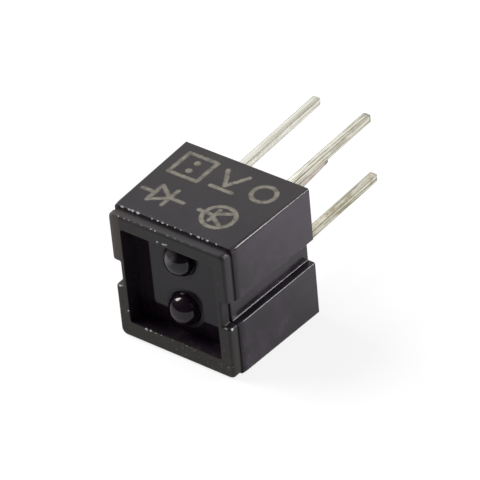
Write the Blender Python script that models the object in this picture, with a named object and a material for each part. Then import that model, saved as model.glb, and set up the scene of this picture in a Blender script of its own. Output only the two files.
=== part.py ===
"""Reflective optical sensor: a square moulded housing, two domed optical bodies and four leads.

Run it in Blender 4.5, from the text editor or in the background. Units are metres and +Z is up.
The sensor lies on its lower side face, so its two domes face -Y and its leads run towards +Y.
The origin is the centre of the lower side face of the housing.
"""

import math

import bmesh
import bpy
from mathutils import Vector

MM = 0.001

# Housing: a cap moulded in one piece, open at the back
HOUSING_WIDTH = 7.0 * MM
HOUSING_HEIGHT = 7.0 * MM
HOUSING_DEPTH = 6.0 * MM
SIDE_DRAFT = 0.030                # the left and right sides close in by this much per unit of depth
SIDE_EDGE_RADIUS_FRONT = 0.18 * MM
SIDE_EDGE_RADIUS_BACK = 0.09 * MM

# Front frame: the first stretch of the cap stands back a little behind a step
FRAME_DEPTH = 0.57 * MM
FRAME_SIDE_STEP = 0.07 * MM
FRAME_TOP_STEP = 0.09 * MM
FRAME_BOTTOM_STEP = 0.05 * MM
FRAME_CORNER_RADIUS = 0.28 * MM
FRAME_EDGE_RADIUS = 0.16 * MM
STEP_EDGE_RADIUS = 0.03 * MM

# Locating groove along the middle of the left and the right side
GROOVE_HEIGHT = 1.26 * MM
GROOVE_DEPTH = 0.40 * MM
GROOVE_LIP_RADIUS = 0.055 * MM
GROOVE_ROOT_RADIUS = 0.040 * MM
GROOVE_MOUTH = 0.12 * MM          # how much higher the groove opens in the front frame
GROOVE_ROOT_ROUNDING = 0.8        # share of the front rounding that the groove's floor gets
GROOVE_LEDGE_ROUNDING = 0.4       # share of it that the groove's lower face gets

# Recess in the front face, and the plate at its floor that the domes look through
RECESS_SIDE = 5.25 * MM
RECESS_DEPTH = 0.90 * MM
RECESS_RAISE = 0.06 * MM          # the recess sits this much above the middle of the housing
RECESS_CORNER_RADIUS = 0.14 * MM
RECESS_DRAFT = 0.02
PLATE_THICKNESS = 0.50 * MM

# Optical bodies: two resin blocks side by side, each with a collar and a dome
OPTICS_RAISE = 0.12 * MM          # domes and leads sit this much above the middle of the housing
DOME_SPACING = 2.75 * MM
DOME_BASE_RADIUS = 0.87 * MM
DOME_HEIGHT = 0.78 * MM
WEB_THICKNESS = 0.55 * MM
POCKET_WIDTH = 4.70 * MM
POCKET_CORNER_RADIUS = 0.30 * MM
BODY_BACK_RECESS = 0.10 * MM

# Leads: square wire, four in two rows, with the rows' small offset and each lead's own drift and bow
LEAD_SIDE = 0.40 * MM
LEAD_EDGE_RADIUS = 0.05 * MM
LEAD_SPACING_X = 2.70 * MM
LEAD_SPACING_Z = 3.45 * MM
LEAD_OFFSET_X = -0.15 * MM
LEAD_TIP_CHAMFER = 0.07 * MM
ANODE_LENGTH = 7.80 * MM          # lengths past the back of the housing
CATHODE_LENGTH = 7.55 * MM
COLLECTOR_LENGTH = 7.50 * MM
EMITTER_LEAD_LENGTH = 7.60 * MM
ANODE_DRIFT = (-0.0365, 0.003)    # sideways and upward shift for each unit of length
CATHODE_DRIFT = (0.009, 0.034)
COLLECTOR_DRIFT = (-0.030, 0.011)
EMITTER_LEAD_DRIFT = (-0.0135, 0.012)
ANODE_BOW = (0.080 * MM, -0.080 * MM)    # sideways and upward bow at the middle of its length
STRAIGHT = (0.0, 0.0)
CUP_SETBACK = 0.59 * MM           # from the back of the plate to the front of the chip cups
CUP_RADIUS = 0.50 * MM
CUP_THICKNESS = 0.42 * MM
CUP_HOLLOW_RADIUS = 0.36 * MM
CUP_HOLLOW_DEPTH = 0.12 * MM
POST_REACH = 0.62 * MM            # how far from the dome's axis the bond wire's post stops

# Chips and bond wires
EMITTER_CHIP_SIDE = 0.30 * MM
DETECTOR_CHIP_SIDE = 0.42 * MM
CHIP_THICKNESS = 0.20 * MM
WIRE_RADIUS = 0.018 * MM
WIRE_LOOP = 0.30 * MM

# Clearances between pieces that are moulded round, bonded to or slid into each other
BODY_CLEARANCE = 0.030 * MM
DOME_CLEARANCE = 0.045 * MM
LEAD_CLEARANCE = 0.020 * MM
BOND_GAP = 0.010 * MM

# Facets
CORNER_STEPS = 6
ROUND_STEPS = 48
CUP_STEPS = 24
DOME_STEPS = 9
LEAD_EDGE_STEPS = 2
LIP_STEPS = 3
STEP_EDGE_STEPS = 2
BOW_STEPS = 6
ROOT_STEPS = 2
WIRE_SIDES = 6
WIRE_STEPS = 10
SMOOTH_ANGLE = math.radians(32)
CUTTER_OVERRUN = 0.5 * MM

# Places that follow from the sizes above
BACK_Y = HOUSING_DEPTH / 2
FRONT_Y = -HOUSING_DEPTH / 2
MIDDLE_Z = HOUSING_HEIGHT / 2
STEP_Y = FRONT_Y + FRAME_DEPTH
RECESS_Z = MIDDLE_Z + RECESS_RAISE
OPTICS_Z = MIDDLE_Z + OPTICS_RAISE
PLATE_FRONT_Y = FRONT_Y + RECESS_DEPTH
PLATE_BACK_Y = PLATE_FRONT_Y + PLATE_THICKNESS
POCKET_HEIGHT = DOME_SPACING - WEB_THICKNESS
CUP_FRONT_Y = PLATE_BACK_Y + CUP_SETBACK
ARM_Y = CUP_FRONT_Y + CUP_THICKNESS / 2


def clear_scene():
    """Remove the objects and the meshes of the open file."""
    for item in list(bpy.data.objects):
        bpy.data.objects.remove(item, do_unlink=True)
    for mesh in list(bpy.data.meshes):
        bpy.data.meshes.remove(mesh)


def make_material(name, colour, roughness, metallic=0.0):
    """Make a plain Principled material."""
    material = bpy.data.materials.new(name)
    material.use_nodes = True
    shader = material.node_tree.nodes["Principled BSDF"]
    shader.inputs["Base Color"].default_value = (*colour, 1.0)
    shader.inputs["Roughness"].default_value = roughness
    shader.inputs["Metallic"].default_value = metallic
    material.diffuse_color = (*colour, 1.0)
    return material


def rounded_outline(corners):
    """Return the (x, z) points of a closed outline whose corners are (x, z, radius, steps), in order."""
    points = []
    for index, (x, z, radius, steps) in enumerate(corners):
        corner = Vector((x, z))
        before = corners[index - 1]
        after = corners[(index + 1) % len(corners)]
        towards_before = (Vector(before[:2]) - corner).normalized()
        towards_after = (Vector(after[:2]) - corner).normalized()
        half_angle = towards_before.angle(towards_after) / 2
        bisector = (towards_before + towards_after).normalized()
        centre = corner + bisector * (radius / math.sin(half_angle))
        start = corner + towards_before * (radius / math.tan(half_angle)) - centre
        end = corner + towards_after * (radius / math.tan(half_angle)) - centre
        sweep = start.angle_signed(end)
        for step in range(steps + 1):
            turn = -sweep * step / steps
            spoke = Vector((start.x * math.cos(turn) - start.y * math.sin(turn),
                            start.x * math.sin(turn) + start.y * math.cos(turn)))
            points.append(tuple(centre + spoke))
    return points


def rounded_box_outline(half_width, half_height, radius, steps=CORNER_STEPS):
    """Return the outline of a rounded rectangle round (0, 0)."""
    return rounded_outline([(half_width, -half_height, radius, steps),
                            (half_width, half_height, radius, steps),
                            (-half_width, half_height, radius, steps),
                            (-half_width, -half_height, radius, steps)])


def circle_outline(radius, count=ROUND_STEPS):
    """Return a circle whose points face those of a rounded rectangle with as many points."""
    first = -math.pi / 2
    angles = [first + 2 * math.pi * (index + 0.5) / count for index in range(count)]
    return [(radius * math.cos(angle), radius * math.sin(angle)) for angle in angles]


def ring_at(outline, y):
    """Stand an (x, z) outline upright at y."""
    return [(x, y, z) for x, z in outline]


def loft(name, rings):
    """Skin a row of rings that have equal numbers of points, and close both ends."""
    bm = bmesh.new()
    rows = [[bm.verts.new(point) for point in ring] for ring in rings]
    for row, following in zip(rows, rows[1:]):
        for index in range(len(row)):
            neighbour = (index + 1) % len(row)
            bm.faces.new((row[index], row[neighbour], following[neighbour], following[index]))
    bm.faces.new(rows[0])
    bm.faces.new(list(reversed(rows[-1])))
    bmesh.ops.recalc_face_normals(bm, faces=bm.faces)
    mesh = bpy.data.meshes.new(name)
    bm.to_mesh(mesh)
    bm.free()
    mesh.shade_smooth()
    mesh.set_sharp_from_angle(angle=SMOOTH_ANGLE)
    item = bpy.data.objects.new(name, mesh)
    bpy.context.scene.collection.objects.link(item)
    return item


def finish_piece(item, material, parent, location=(0.0, 0.0, 0.0)):
    """Give a piece its material, its parent and its place."""
    item.data.materials.append(material)
    item.parent = parent
    item.location = location
    return item


def add_boolean(item, tool, operation):
    """Hide a tool solid and add the Boolean that uses it."""
    tool.hide_render = True
    tool.display_type = "WIRE"
    modifier = item.modifiers.new(operation.lower() + "_" + tool.name, "BOOLEAN")
    modifier.operation = operation
    modifier.solver = "EXACT"
    modifier.object = tool


def housing_ring(y, edge_radius, inset=0.0, frame=False):
    """Return the housing's outline at y, with its two grooves.

    inset draws the outline in where an edge is rounded, and frame gives the section of the front frame.
    """
    side = HOUSING_WIDTH / 2 - SIDE_DRAFT * (BACK_Y - y)
    low = inset
    high = HOUSING_HEIGHT - inset
    groove_low = MIDDLE_Z - GROOVE_HEIGHT / 2 - GROOVE_LEDGE_ROUNDING * inset
    groove_high = MIDDLE_Z + GROOVE_HEIGHT / 2 + inset
    if frame:
        side -= FRAME_SIDE_STEP
        low += FRAME_BOTTOM_STEP
        high -= FRAME_TOP_STEP
        groove_high += GROOVE_MOUTH
    floor = side - GROOVE_DEPTH - GROOVE_ROOT_ROUNDING * inset
    side -= inset
    lip = (GROOVE_LIP_RADIUS, LIP_STEPS)
    root = (GROOVE_ROOT_RADIUS, ROOT_STEPS)
    edge = (edge_radius, CORNER_STEPS)
    right = [(side, low, *edge), (side, groove_low, *lip), (floor, groove_low, *root),
             (floor, groove_high, *root), (side, groove_high, *lip), (side, high, *edge)]
    left = [(-x, z, radius, steps) for x, z, radius, steps in reversed(right)]
    return ring_at(rounded_outline(right + left), y)


def rounding(start_y, radius, steps):
    """Return the (y, inset) steps of a rounded edge whose face lies at start_y."""
    turns = [math.pi / 2 * step / steps for step in range(steps + 1)]
    return [(start_y + radius * (1 - math.sin(turn)), radius * (1 - math.cos(turn))) for turn in turns]


def make_housing(material, parent):
    """Model the cap: drafted sides, stepped front frame, grooves, recess, dome holes and rear pockets."""
    rings = [housing_ring(BACK_Y, SIDE_EDGE_RADIUS_BACK)]
    rings += [housing_ring(y, SIDE_EDGE_RADIUS_FRONT, inset)
              for y, inset in rounding(STEP_Y, STEP_EDGE_RADIUS, STEP_EDGE_STEPS)]
    rings.append(housing_ring(STEP_Y, FRAME_CORNER_RADIUS, frame=True))
    rings += [housing_ring(y, FRAME_CORNER_RADIUS, inset, frame=True)
              for y, inset in rounding(FRONT_Y, FRAME_EDGE_RADIUS, CORNER_STEPS)]
    housing = finish_piece(loft("housing", rings), material, parent)

    mouth = RECESS_SIDE / 2 + RECESS_DRAFT * CUTTER_OVERRUN
    floor = RECESS_SIDE / 2 - RECESS_DRAFT * RECESS_DEPTH
    recess = loft("recess_tool", [
        ring_at(rounded_box_outline(mouth, mouth, RECESS_CORNER_RADIUS), FRONT_Y - CUTTER_OVERRUN),
        ring_at(rounded_box_outline(floor, floor, RECESS_CORNER_RADIUS), PLATE_FRONT_Y)])
    recess.parent = parent
    recess.location = (0.0, 0.0, RECESS_Z)
    add_boolean(housing, recess, "DIFFERENCE")

    for side, label in ((-1, "lower"), (1, "upper")):
        dome_z = OPTICS_Z + side * DOME_SPACING / 2
        pocket_outline = rounded_box_outline(POCKET_WIDTH / 2, POCKET_HEIGHT / 2, POCKET_CORNER_RADIUS)
        hole_outline = circle_outline(DOME_BASE_RADIUS + DOME_CLEARANCE)
        pocket = loft(label + "_pocket_tool", [
            ring_at(pocket_outline, PLATE_BACK_Y), ring_at(pocket_outline, BACK_Y + CUTTER_OVERRUN)])
        hole = loft(label + "_hole_tool", [
            ring_at(hole_outline, PLATE_FRONT_Y - CUTTER_OVERRUN),
            ring_at(hole_outline, PLATE_BACK_Y + CUTTER_OVERRUN)])
        for tool in (pocket, hole):
            tool.parent = parent
            tool.location = (0.0, 0.0, dome_z)
            add_boolean(housing, tool, "DIFFERENCE")
    return housing


def make_optical_body(name, material, parent, dome_z, tools):
    """Model a resin block with its collar and dome, and hollow it for what is cast into it."""
    outline = rounded_box_outline(POCKET_WIDTH / 2 - BODY_CLEARANCE, POCKET_HEIGHT / 2 - BODY_CLEARANCE,
                                  POCKET_CORNER_RADIUS - BODY_CLEARANCE, ROUND_STEPS // 4 - 1)
    shoulder_y = PLATE_BACK_Y + BODY_CLEARANCE
    rings = [ring_at(outline, BACK_Y - BODY_BACK_RECESS), ring_at(outline, shoulder_y),
             ring_at(circle_outline(DOME_BASE_RADIUS), shoulder_y)]
    sphere_radius = (DOME_BASE_RADIUS ** 2 + DOME_HEIGHT ** 2) / (2 * DOME_HEIGHT)
    sphere_y = PLATE_FRONT_Y - DOME_HEIGHT + sphere_radius
    opening = math.asin(min(1.0, DOME_BASE_RADIUS / sphere_radius))
    for step in range(DOME_STEPS):
        angle = opening * (1 - step / DOME_STEPS)
        outline = circle_outline(sphere_radius * math.sin(angle))
        rings.append(ring_at(outline, sphere_y - sphere_radius * math.cos(angle)))
    body = finish_piece(loft(name, rings), material, parent, (0.0, 0.0, dome_z))
    for tool in tools:
        add_boolean(body, tool, "DIFFERENCE")
    return body


def lead_rings(inward, reach, drift, bow, length, grow):
    """Return a lead's rings, from its cut tip to the end of its cross arm.

    inward is the sign of X towards the dome's axis, reach the distance that the arm covers, drift the
    shift (x, z) for each unit of length behind the housing, bow the shift (x, z) that is largest at
    the middle of that length, and grow an allowance on every side.
    """
    half = LEAD_SIDE / 2 + grow
    section = rounded_box_outline(half, half, LEAD_EDGE_RADIUS, LEAD_EDGE_STEPS)
    stations = [(length, 1 - LEAD_TIP_CHAMFER / half), (length - LEAD_TIP_CHAMFER, 1.0)]
    steps = BOW_STEPS if any(bow) else 1
    stations += [(length * step / steps, 1.0) for step in range(steps - 1, -1, -1)]
    rings = []
    for y, scale in stations:
        swell = math.sin(math.pi * y / length)
        shift_x = drift[0] * y + bow[0] * swell
        shift_z = drift[1] * y + bow[1] * swell
        rings.append([(inward * scale * u + shift_x, y, scale * w + shift_z) for u, w in section])
    bend_y = ARM_Y - BACK_Y
    rings.append([(inward * u, bend_y + u, w) for u, w in section])
    rings.append([(inward * (reach + grow), bend_y + u, w) for u, w in section])
    return rings


def make_cup(name, dome_z, grow):
    """Model the round chip cup at the end of a lead's arm, as a tool solid."""
    outline = circle_outline(CUP_RADIUS + grow, CUP_STEPS)
    back_y = CUP_FRONT_Y + CUP_THICKNESS
    cup = loft(name, [ring_at(outline, CUP_FRONT_Y - grow), ring_at(outline, back_y + grow)])
    cup.location = (0.0, 0.0, dome_z)
    return cup


def make_lead(name, shape, materials, parent, place, reach):
    """Model one lead of the given (drift, bow, length), placed where it leaves the back of the housing."""
    inward = 1 if place[0] < 0 else -1
    lead = loft(name, lead_rings(inward, reach, *shape, 0.0))
    return finish_piece(lead, materials[name], parent, place)


def make_lead_tool(name, parent, place, reach):
    """Model the channel that a lead fills inside its resin block."""
    inward = 1 if place[0] < 0 else -1
    tool = loft(name, lead_rings(inward, reach, STRAIGHT, STRAIGHT, CUTTER_OVERRUN, LEAD_CLEARANCE))
    tool.parent = parent
    tool.location = place
    return tool


def hollow_cup(lead, name, parent, dome_z):
    """Join the chip cup to a lead's arm, and turn the shallow hollow into its front."""
    cup = make_cup(name + "_cup_tool", dome_z, 0.0)
    cup.parent = parent
    add_boolean(lead, cup, "UNION")
    mouth = circle_outline(CUP_HOLLOW_RADIUS + CUTTER_OVERRUN, CUP_STEPS)
    floor = circle_outline(CUP_HOLLOW_RADIUS - CUP_HOLLOW_DEPTH, CUP_STEPS)
    hollow = loft(name + "_hollow_tool", [ring_at(mouth, CUP_FRONT_Y - CUTTER_OVERRUN),
                                          ring_at(floor, CUP_FRONT_Y + CUP_HOLLOW_DEPTH)])
    hollow.parent = parent
    hollow.location = (0.0, 0.0, dome_z)
    add_boolean(lead, hollow, "DIFFERENCE")


def chip_rings(side, grow):
    """Return the rings of a square chip on the floor of its cup."""
    outline = rounded_box_outline(side / 2 + grow, side / 2 + grow, side / 20, 1)
    back_y = CUP_FRONT_Y + CUP_HOLLOW_DEPTH - BOND_GAP
    return [ring_at(outline, back_y - CHIP_THICKNESS - grow), ring_at(outline, back_y + grow)]


def wire_rings(start, end, radius):
    """Return the rings of a wire that arches forwards from start to end, along a cubic curve."""
    lift = Vector((0.0, -WIRE_LOOP, 0.0))
    start = Vector(start)
    end = Vector(end)
    across = (end - start).cross(Vector((0.0, 1.0, 0.0))).normalized()
    turns = [2 * math.pi * corner / WIRE_SIDES for corner in range(WIRE_SIDES)]
    rings = []
    for index in range(WIRE_STEPS + 1):
        t = index / WIRE_STEPS
        s = 1 - t
        point = (start * s ** 3 + (start + lift) * 3 * s * s * t
                 + (end + lift) * 3 * s * t * t + end * t ** 3)
        tangent = (lift * 3 * s * s + (end - start) * 6 * s * t - lift * 3 * t * t).normalized()
        normal = tangent.cross(across)
        spokes = [across * math.cos(turn) + normal * math.sin(turn) for turn in turns]
        rings.append([tuple(point + radius * spoke) for spoke in spokes])
    return rings


def make_channel(label, materials, parent, side, chip_side, cup_lead, post_lead):
    """Model one optical channel: resin block, chip cup lead, post lead, chip and bond wire.

    side is -1 for the lower channel and 1 for the upper, and each lead is its (name, shape).
    """
    dome_z = OPTICS_Z + side * DOME_SPACING / 2
    lead_z = OPTICS_Z + side * LEAD_SPACING_Z / 2
    cup_place = (LEAD_OFFSET_X - LEAD_SPACING_X / 2, BACK_Y, lead_z)
    post_place = (LEAD_OFFSET_X + LEAD_SPACING_X / 2, BACK_Y, lead_z)
    cup_reach = -cup_place[0]
    post_reach = post_place[0] - POST_REACH

    hollow_cup(make_lead(*cup_lead, materials, parent, cup_place, cup_reach), label, parent, dome_z)
    make_lead(*post_lead, materials, parent, post_place, post_reach)

    chip = loft(label + "_chip", chip_rings(chip_side, 0.0))
    finish_piece(chip, materials[label + "_chip"], parent, (0.0, 0.0, dome_z))
    chip_front_y = CUP_FRONT_Y + CUP_HOLLOW_DEPTH - BOND_GAP - CHIP_THICKNESS
    wire_start = (chip_side / 4, chip_front_y - BOND_GAP, 0.0)
    arm_front_y = ARM_Y - LEAD_SIDE / 2
    wire_end = (POST_REACH + LEAD_SIDE / 2, arm_front_y - BOND_GAP, lead_z - dome_z)
    wire = loft(label + "_bond_wire", wire_rings(wire_start, wire_end, WIRE_RADIUS))
    finish_piece(wire, materials[label + "_bond_wire"], parent, (0.0, 0.0, dome_z))

    tools = [make_lead_tool(label + "_cup_channel_tool", parent, cup_place, cup_reach),
             make_lead_tool(label + "_post_channel_tool", parent, post_place, post_reach),
             make_cup(label + "_cup_space_tool", dome_z, LEAD_CLEARANCE),
             loft(label + "_chip_space_tool", chip_rings(chip_side, LEAD_CLEARANCE)),
             loft(label + "_wire_space_tool",
                  wire_rings(wire_start, wire_end, WIRE_RADIUS + LEAD_CLEARANCE))]
    for tool in tools[3:]:
        tool.location = (0.0, 0.0, dome_z)
    for tool in tools[2:]:
        tool.parent = parent
    make_optical_body(label + "_body", materials[label + "_body"], parent, dome_z, tools)


def main():
    """Build the sensor."""
    clear_scene()
    sensor = bpy.data.objects.new("sensor", None)
    bpy.context.scene.collection.objects.link(sensor)

    materials = {
        "housing": make_material("housing", (0.045, 0.043, 0.046), 0.42),
        "emitter_body": make_material("emitter_body", (0.030, 0.024, 0.036), 0.08),
        "detector_body": make_material("detector_body", (0.020, 0.019, 0.022), 0.08),
        "emitter_chip": make_material("emitter_chip", (0.30, 0.26, 0.30), 0.25),
        "detector_chip": make_material("detector_chip", (0.20, 0.22, 0.28), 0.20),
        "emitter_bond_wire": make_material("emitter_bond_wire", (0.85, 0.62, 0.26), 0.20, 1.0),
        "detector_bond_wire": make_material("detector_bond_wire", (0.85, 0.62, 0.26), 0.20, 1.0),
        "emitter_anode_lead": make_material("emitter_anode_lead", (0.74, 0.72, 0.66), 0.34, 1.0),
        "emitter_cathode_lead": make_material("emitter_cathode_lead", (0.74, 0.72, 0.66), 0.34, 1.0),
        "detector_collector_lead": make_material("detector_collector_lead", (0.74, 0.72, 0.66), 0.34, 1.0),
        "detector_emitter_lead": make_material("detector_emitter_lead", (0.74, 0.72, 0.66), 0.34, 1.0),
    }

    make_housing(materials["housing"], sensor)
    make_channel("emitter", materials, sensor, -1, EMITTER_CHIP_SIDE,
                 ("emitter_anode_lead", (ANODE_DRIFT, ANODE_BOW, ANODE_LENGTH)),
                 ("emitter_cathode_lead", (CATHODE_DRIFT, STRAIGHT, CATHODE_LENGTH)))
    make_channel("detector", materials, sensor, 1, DETECTOR_CHIP_SIDE,
                 ("detector_collector_lead", (COLLECTOR_DRIFT, STRAIGHT, COLLECTOR_LENGTH)),
                 ("detector_emitter_lead", (EMITTER_LEAD_DRIFT, STRAIGHT, EMITTER_LEAD_LENGTH)))


main()
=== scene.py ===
"""Looks of a reflective optical sensor: moulded housing, two domed optical bodies and four tinned leads.

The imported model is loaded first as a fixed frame, and every new piece takes its place from it.
Lengths are in metres and +Z is up. The sensor lies on its lower side face, its domes face -Y and
its leads run towards +Y.
"""

import math

import bmesh
import bpy
from bpy.props import FloatProperty, FloatVectorProperty, PointerProperty
from mathutils import Matrix, Vector


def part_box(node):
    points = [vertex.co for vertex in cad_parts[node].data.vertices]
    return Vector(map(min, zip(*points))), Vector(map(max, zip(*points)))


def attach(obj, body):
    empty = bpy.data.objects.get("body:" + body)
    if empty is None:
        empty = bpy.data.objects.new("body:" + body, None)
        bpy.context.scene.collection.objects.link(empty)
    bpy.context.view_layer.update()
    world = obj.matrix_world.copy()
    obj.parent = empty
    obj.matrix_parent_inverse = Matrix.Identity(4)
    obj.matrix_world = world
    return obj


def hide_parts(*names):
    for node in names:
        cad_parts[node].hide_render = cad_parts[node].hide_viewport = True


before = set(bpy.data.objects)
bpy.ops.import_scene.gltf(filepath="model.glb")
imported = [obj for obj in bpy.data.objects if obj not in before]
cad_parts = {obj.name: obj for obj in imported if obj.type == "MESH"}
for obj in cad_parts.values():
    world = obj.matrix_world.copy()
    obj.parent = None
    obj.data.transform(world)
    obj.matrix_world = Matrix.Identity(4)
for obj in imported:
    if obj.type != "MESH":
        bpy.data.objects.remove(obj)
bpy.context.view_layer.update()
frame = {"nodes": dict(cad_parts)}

bl_info = {
    "name": "Reflective Optical Sensor",
    "version": (1, 0, 0),
    "blender": (4, 5, 0),
    "location": "3D View > Sidebar > Sensor",
    "description": "Models and finishes a reflective optical sensor with its stage",
    "category": "Add Mesh",
}

MM = 0.001
TINY = 1e-7


def mm(*lengths):
    """Return lengths given in mm as metres."""
    return tuple(value * MM for value in lengths)



HOUSING_LOW, HOUSING_HIGH = (Vector(corner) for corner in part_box("housing"))
WIDTH = HOUSING_HIGH.x - HOUSING_LOW.x
HEIGHT = HOUSING_HIGH.z - HOUSING_LOW.z
BACK_Y = HOUSING_HIGH.y
FRONT_Y = HOUSING_LOW.y
MIDDLE_Z = (HOUSING_LOW.z + HOUSING_HIGH.z) / 2

SIDE_DRAFT = 0.030
EDGE_RADIUS_FRONT = 0.18 * MM
EDGE_RADIUS_BACK = 0.09 * MM
STEP_EDGE_RADIUS = 0.05 * MM
STEP_Y = FRONT_Y + 0.57 * MM
STEP_GROOVE_DEPTH = 0.045 * MM
STEP_GROOVE_WIDTH = 0.10 * MM
SIDE_ROLL_WIDTH = 0.32 * MM
SIDE_ROLL_DEPTH = 0.035 * MM
SIDE_ROLL_STEPS = 4
SIDE_GROOVE_FILL = 0.025 * MM
FRAME_TOP_SINK = 0.030 * MM
FRAME_TOP_SLOPE = 0.048 * MM
FRAME_TOP_SLOPE_WIDTH = 0.28 * MM
FRAME_SIDE_STEP = 0.07 * MM
FRAME_TOP_STEP = 0.09 * MM
FRAME_BOTTOM_STEP = 0.05 * MM
FRAME_CORNER_RADIUS = 0.28 * MM
FRAME_EDGE_RADIUS = 0.15 * MM
EDGE_SUPPORT = 0.04 * MM
GROOVE_MOUTH = 0.12 * MM
LIP_RADIUS = 0.070 * MM
LIP_GROWTH = 0.6
ROOT_RADIUS = 0.050 * MM
ROOT_ROUNDING = 0.8
LEDGE_ROUNDING = 0.4
RECESS_RAISE = 0.06 * MM
RECESS_Z = MIDDLE_Z + RECESS_RAISE
RECESS_DEPTH = 0.90 * MM
RECESS_CORNER_RADIUS = 0.14 * MM
RECESS_DRAFT = 0.02
PLATE_THICKNESS = 0.50 * MM
OPTICS_Z = MIDDLE_Z + 0.12 * MM
DOME_SPACING = 2.75 * MM
DOME_STEM_OVERLAP = 0.1 * MM
WEB_THICKNESS = 0.55 * MM
POCKET_WIDTH = 4.70 * MM
POCKET_CORNER_RADIUS = 0.30 * MM
BODY_BACK_RECESS = 0.10 * MM
BODY_CLEARANCE = 0.030 * MM
DOME_CLEARANCE = 0.030 * MM
PIECE_CLEARANCE = 0.020 * MM
LEAD_EDGE_RADIUS = 0.05 * MM
LEAD_BEND_RADIUS = 0.30 * MM
LEAD_SPACING_X = 2.70 * MM
LEAD_SPACING_Z = 3.45 * MM
LEAD_OFFSET_X = -0.15 * MM
CUP_SETBACK = 0.59 * MM
CUP_RADIUS = 0.50 * MM
CUP_THICKNESS = 0.42 * MM
CUP_RIM = 0.14 * MM
CUP_EDGE_RADIUS = 0.03 * MM
CUP_HOLLOW_DEPTH = 0.12 * MM
CUP_HOLLOW_TAPER = 0.67
POST_REACH = 0.62 * MM
CUTTER_OVERRUN = 0.5 * MM

# Each lead: side of the dome's axis, channel (-1 lower, 1 upper), length, drift and bow (sideways, up)
LEADS = {
    "emitter_anode_lead": (-1, -1, 7.80 * MM, (-0.0365, 0.003), (0.080 * MM, -0.080 * MM)),
    "emitter_cathode_lead": (1, -1, 7.55 * MM, (0.009, 0.034), (0.0, 0.0)),
    "detector_collector_lead": (-1, 1, 7.50 * MM, (-0.030, 0.011), (0.0, 0.0)),
    "detector_emitter_lead": (1, 1, 7.60 * MM, (-0.0135, 0.012), (0.0, 0.0)),
}
STRAIGHT_LENGTH = 7.50 * MM
ARM_STUB = 0.50 * MM
TIP_LENGTH = 0.10 * MM
EDGE_TURN = 0.10
TIP_SCALES = (0.97, 0.90, 0.78)
ARM_Y = FRONT_Y + RECESS_DEPTH + PLATE_THICKNESS + CUP_SETBACK + CUP_THICKNESS / 2

EDGE_SEGMENTS = 10
LIP_SEGMENTS = 6
ROOT_SEGMENTS = 4
STEP_SEGMENTS = 3
BLOCK_EDGE_SEGMENTS = 8
LEAD_EDGE_SEGMENTS = 4
SHAFT_STATIONS = 24
BEND_STEPS = 6
CUP_SEGMENTS = 48
HOLE_SEGMENTS = 96
DOME_SEGMENTS = 128
SMOOTH_ANGLE = math.radians(30)
FACING_FRONT = (math.pi / 2, 0.0, 0.0)
AREA_WEIGHT = 50

CAMERA_PLACE = Vector((97.844, -111.371, 114.734)) * MM
CAMERA_FORWARD = Vector((-0.52420008, 0.60767179, -0.59661485)).normalized()
CAMERA_UP = Vector((-0.31451242, 0.51290911, 0.79875289)).normalized()
CAMERA_LENS = 309.19
CAMERA_FRAME_WIDTH = 36.0

# Lamps, each by its direction from the sensor, distance, size and radiance
SUBJECT = Vector((0.0, 0.0, MIDDLE_Z))
KEY_LAMP = ((-0.69, -0.14, 0.71), 0.40, 0.26, 13.0)
BACK_LAMP = ((0.72, 0.60, 0.36), 0.40, 0.15, 20.0)
ROOM_LIGHT = 0.35
DIM_ROOM = 0.05
BACKDROP_LEVEL = 0.85
BACKDROP_DIRECTION = (-0.35, 0.90, 0.25)
BACKDROP_EDGE = (0.05, 0.35)
FLOOR_SIZE = 2.0
PAPER_COLOURS = ((0.90, 0.90, 0.90), (0.93, 0.93, 0.93))
FLOOR_WHITE_SHARE = 0.82
# Painted shadow on the floor as glossy surfaces see it: darker in front of the sensor and in a band close
# to its front, lighter away towards its right and back
FLOOR_FALL_DIRECTION = (-0.45, -0.89, 0.0)
FLOOR_FALL_REACH = mm(-1.0, 3.0)
FLOOR_FRONT_LEVEL = 0.84
FLOOR_CONTACT_RISE = mm(1.0, 2.8)
FLOOR_CONTACT_FADE = mm(3.0, 7.5)
FLOOR_CONTACT_SHARE = 0.22
FLOOR_RISE_DIRECTION = (0.65, 0.76, 0.0)
FLOOR_RISE_REACH = mm(1.0, 11.0)
FLOOR_NEAR_LEVEL = 0.70

# Torn facets on the moulded edges, in mm: rows along the step edge and the frame's top edge, each with its
# y and z and then x and radius of each facet, and single ones on the other edges (x, y, z, radius)
NICK_ROWS = (
    (-2.42, 6.98, (
        (-2.85, 0.075), (-2.45, 0.065), (-2.24, 0.075), (-1.95, 0.085), (-1.14, 0.045), (-0.81, 0.050),
        (-0.54, 0.055), (-0.26, 0.045), (0.16, 0.040), (0.49, 0.045), (1.04, 0.045), (1.46, 0.065),
        (1.70, 0.040), (1.96, 0.065), (2.46, 0.045))),
    (-2.96, 6.88, (
        (-2.64, 0.035), (-2.32, 0.031), (-2.07, 0.031), (-1.72, 0.031), (-1.34, 0.035), (-0.79, 0.048),
        (-0.56, 0.039), (0.14, 0.035), (0.55, 0.035), (0.94, 0.031), (1.44, 0.035), (2.20, 0.031))),
)
SINGLE_NICKS = (
    (-0.46, -3.00, 6.32, 0.060), (-0.12, -3.00, 6.33, 0.075), (0.02, -3.00, 6.36, 0.065),
    (-1.71, -3.00, 0.90, 0.080), (-1.45, -3.00, 0.92, 0.070), (-1.16, -3.00, 0.90, 0.045),
    (-0.85, -3.00, 0.92, 0.035), (-0.20, -3.00, 0.92, 0.030), (0.62, -3.00, 0.92, 0.030),
    (-2.67, -3.00, 1.57, 0.055), (-3.00, -2.99, 2.85, 0.060), (3.19, -2.68, 6.81, 0.080),
    (2.99, -2.90, 2.87, 0.100), (3.25, -2.80, 2.81, 0.090),
)
NICKS = [(x, y, z, radius) for y, z, row in NICK_ROWS for x, radius in row] + list(SINGLE_NICKS)
NICK_FACET = (-0.109, -0.492, 0.861)
SIDE_NICK_FACET = (0.79, 0.0, 0.61)
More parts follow.
